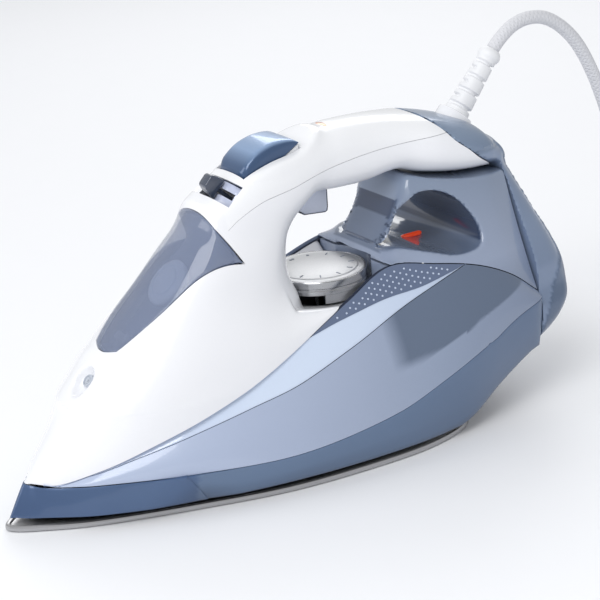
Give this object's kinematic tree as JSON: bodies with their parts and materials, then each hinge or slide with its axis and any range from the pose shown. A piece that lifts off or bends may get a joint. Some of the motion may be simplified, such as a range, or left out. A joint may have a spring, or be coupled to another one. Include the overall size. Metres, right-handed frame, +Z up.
{
  "type": "steam iron",
  "caption": "Steam iron with pointed soleplate, clear blue wrap-round water tank, filling door in the white nose, loop handle with spray button, temperature dial and braided cord.",
  "frame": {"origin": "on the plane of the soleplate's face, at the middle of the iron's length and width", "axes": "+X from the nose to the heel, +Y to the iron's right-hand side, +Z up from the soleplate"},
  "size_m": [0.525, 0.1871, 0.1903],
  "materials": {
    "satin_steel": "satin",
    "cast_aluminium": "cast",
    "dark_steel": "matt",
    "red_silicone": "matt",
    "plate_steel": "satin",
    "ceramic": "matt",
    "fuse_red": "matt",
    "screw_steel": "satin",
    "black_phenolic": "matt",
    "skirt_blue": "metallic flake under gloss",
    "tank_clear_blue": "clear tinted",
    "white_gloss": "gloss",
    "handle_white": "satin gloss",
    "cover_clear_blue": "clear tinted",
    "band_blue": "gloss",
    "heel_grey_blue": "fine grain",
    "foot_rubber": "matt",
    "door_clear_blue": "clear tinted",
    "pin_steel": "satin",
    "black_plastic": "matt",
    "neck_blue": "gloss",
    "nozzle_grey": "gloss",
    "tube_clear": "clear",
    "smoke_clear": "clear smoked",
    "white_inner": "matt",
    "lavender_clear": "clear tinted",
    "seat_brass": "machined",
    "button_blue": "satin gloss",
    "pump_grey": "matt",
    "spring_steel": "bright",
    "trigger_clear": "clear",
    "dial_metal": "brushed",
    "dial_chrome": "polished",
    "lamp_amber": "clear",
    "lamp_orange": "clear",
    "boot_white": "matt",
    "cord_braid": "braided",
    "tie_grey": "matt",
    "plug_white": "fine grain",
    "plug_metal": "polished"
  },
  "bodies": {
    "iron": {"soleplate": "satin_steel", "heater_casting": "cast_aluminium", "heating_element": "dark_steel", "chamber_seal": "red_silicone", "chamber_cover": "plate_steel", "thermostat": "ceramic", "thermal_fuse": "fuse_red", "sole_screws": "screw_steel", "heat_shield": "black_phenolic", "skirt": "skirt_blue", "water_tank": "tank_clear_blue", "needle_guide": "white_inner", "front_housing": "white_gloss", "handle_shell": "handle_white", "rear_cover": "cover_clear_blue", "rear_band": "band_blue", "heel_plate": "heel_grey_blue", "heel_feet": "foot_rubber", "heel_screws": "screw_steel", "door_pin": "pin_steel", "door_bracket": "black_plastic", "filler_neck": "neck_blue", "filler_cap": "neck_blue", "spray_nozzle": "nozzle_grey", "spray_tube": "tube_clear", "slider_bearing": "white_inner", "slider_track": "lavender_clear", "valve_seat": "seat_brass", "spray_cylinder": "pump_grey", "spray_spring": "spring_steel", "boost_cylinder": "pump_grey", "boost_spring": "spring_steel", "spindle_bearing": "ceramic", "handle_lamp": "lamp_amber", "heating_lamp": "lamp_orange", "terminal_block": "white_inner", "cord_collar": "white_gloss", "cord_boot": "boot_white", "power_cord": "cord_braid", "cord_coil": "cord_braid", "cord_tie": "tie_grey", "plug_body": "plug_white", "plug_pins": "plug_metal"},
    "dial": {"temperature_dial": "dial_metal", "dial_ring": "dial_chrome", "dial_spindle": "pin_steel"},
    "slider": {"steam_slider": "smoke_clear"},
    "needle": {"dosing_needle": "pin_steel"},
    "spray": {"spray_button": "button_blue", "button_base": "white_gloss", "spray_piston": "white_inner"},
    "trigger": {"steam_trigger": "trigger_clear", "boost_piston": "white_inner"},
    "door": {"filling_door": "door_clear_blue", "door_lugs": "door_clear_blue"}
  },
  "joints": [
    {"name": "dial_turn", "type": "hinge", "parent": "iron", "child": "dial", "pos_m": [0.0255, 0, 0.085], "axis": [0, 0, 1], "range_deg": [-120, 120]},
    {"name": "steam_slider_turn", "type": "hinge", "parent": "iron", "child": "slider", "pos_m": [-0.013, 0, 0.1245], "axis": [0.6947, 0, 0.7193], "range_deg": [-25, 25]},
    {"name": "needle_lift", "type": "slide", "parent": "iron", "child": "needle", "axis": [0, 0, 1], "range_m": [-0.0015, 0.0015]},
    {"name": "spray_press", "type": "slide", "parent": "iron", "child": "spray", "axis": [0, 0, -1], "range_m": [0, 0.0035], "stiffness_N_per_m": 800, "springref_m": -0.002, "deforming": ["spray_spring"]},
    {"name": "trigger_press", "type": "slide", "parent": "iron", "child": "trigger", "axis": [0, 0, 1], "range_m": [0, 0.004], "stiffness_N_per_m": 800, "springref_m": -0.002, "deforming": ["boost_spring"]},
    {"name": "door_open", "type": "hinge", "parent": "iron", "child": "door", "pos_m": [-0.09061, 0, 0.07046], "axis": [0, -1, 0], "range_deg": [0, 60]}
  ],
  "couplings": [
    {"joint": "needle_lift", "follows": "steam_slider_turn", "m_per_rad": 0.0034}
  ]
}
